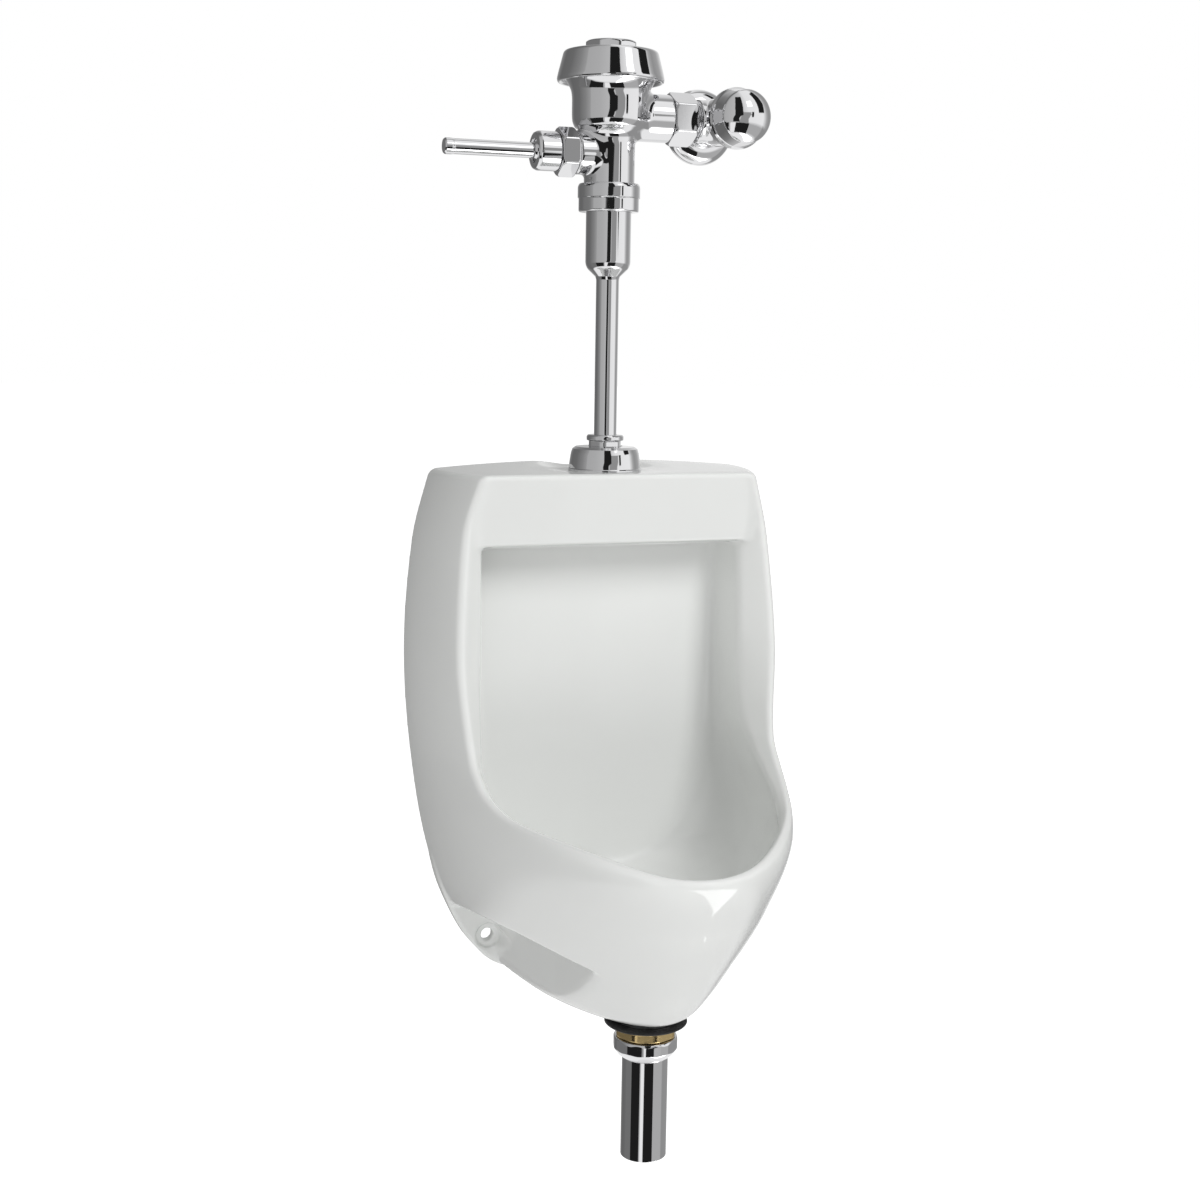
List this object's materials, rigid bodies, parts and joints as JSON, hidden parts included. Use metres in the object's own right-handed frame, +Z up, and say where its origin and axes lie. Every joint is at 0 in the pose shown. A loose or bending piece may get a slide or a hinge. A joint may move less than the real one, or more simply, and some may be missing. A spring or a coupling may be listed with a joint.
{
  "type": "wall-hung urinal with flush valve",
  "caption": "Wall-hung washout urinal of vitreous china with an exposed chromed hand-operated flush valve, control stop, supply flange and bottom outlet tailpiece.",
  "frame": {"origin": "on the wall face, on the centre line, level with the two wall hanger bolts", "axes": "+Z up, +Y into the wall, +X to the right of a person who faces the urinal"},
  "size_m": [0.327, 0.2915, 0.912],
  "materials": {
    "china": "gloss glaze",
    "chrome": "polished",
    "spud_brass": "raw machined",
    "steel": "satin stainless",
    "galvanised_steel": "zinc plated",
    "black_rubber": "matt",
    "white_plastic": "moulded",
    "fibre": "pressed fibre"
  },
  "bodies": {
    "urinal": {"china_body": "china", "wall_hangers": "galvanised_steel", "inlet_spud": "spud_brass", "spud_gasket": "black_rubber", "spud_locknut": "spud_brass", "spud_flange": "chrome", "spud_coupling_nut": "chrome", "spud_slip_gasket": "black_rubber", "friction_washer": "fibre", "flush_tube": "chrome", "vacuum_breaker_sleeve": "black_rubber", "vacuum_breaker_nut": "chrome", "valve_body": "chrome", "valve_seat": "white_plastic", "diaphragm": "black_rubber", "inside_cover": "white_plastic", "outside_cover": "chrome", "handle_gasket": "black_rubber", "handle_bushing": "white_plastic", "handle_socket": "chrome", "handle_coupling_nut": "chrome", "plunger_spring": "steel", "plunger_seal": "black_rubber", "tailpiece_coupling_nut": "chrome", "adjustable_tailpiece": "chrome", "tailpiece_o_ring": "black_rubber", "stop_body": "chrome", "stop_bonnet": "chrome", "stop_spring": "steel", "supply_adapter": "spud_brass", "wall_flange": "chrome", "set_screw": "steel", "strainer_spud": "chrome", "strainer_cover": "steel", "strainer_screw": "steel", "outlet_gasket": "black_rubber", "outlet_locknut": "spud_brass", "slip_washer": "black_rubber", "slip_nut": "chrome", "outlet_tailpiece": "chrome"},
    "handle": {"handle_lever": "chrome"},
    "plunger": {"plunger": "steel"},
    "guide": {"diaphragm_guide": "white_plastic"},
    "relief": {"relief_valve": "white_plastic"},
    "piston": {"stop_piston": "steel"},
    "screw": {"adjusting_screw": "spud_brass"},
    "cap": {"stop_cap": "chrome"}
  },
  "joints": [
    {"name": "handle_tilt", "type": "hinge", "parent": "urinal", "child": "handle", "pos_m": [-0.0637, -0.047, 0.3364], "axis": [0, -1, 0], "range_deg": [0, 12], "stiffness_Nm_per_rad": 4, "springref_deg": -5.73},
    {"name": "plunger_slide", "type": "slide", "parent": "urinal", "child": "plunger", "axis": [1, 0, 0], "range_m": [0, 0.003], "deforming": ["plunger_spring"]},
    {"name": "diaphragm_lift", "type": "slide", "parent": "urinal", "child": "guide", "axis": [0, 0, 1], "range_m": [0, 0.004], "deforming": ["diaphragm"]},
    {"name": "relief_valve_tilt", "type": "hinge", "parent": "guide", "child": "relief", "pos_m": [-0.009, -0.047, 0.3857], "axis": [0, -1, 0], "range_deg": [0, 3]},
    {"name": "piston_travel", "type": "slide", "parent": "urinal", "child": "piston", "axis": [0, -1, 0], "range_m": [0, 0.006], "deforming": ["stop_spring"]},
    {"name": "screw_turn", "type": "hinge", "parent": "piston", "child": "screw", "pos_m": [0.1, -0.06, 0.354], "axis": [0, -1, 0], "range_deg": [0, 1440]},
    {"name": "cap_spin", "type": "hinge", "parent": "urinal", "child": "cap", "pos_m": [0.1, -0.09, 0.354], "axis": [0, -1, 0], "continuous": true}
  ],
  "couplings": [
    {"joint": "plunger_slide", "follows": "handle_tilt", "m_per_rad": 0.0134},
    {"joint": "relief_valve_tilt", "follows": "handle_tilt", "ratio": 0.2055},
    {"joint": "screw_turn", "follows": "piston_travel", "rad_per_m": 4188.8}
  ]
}
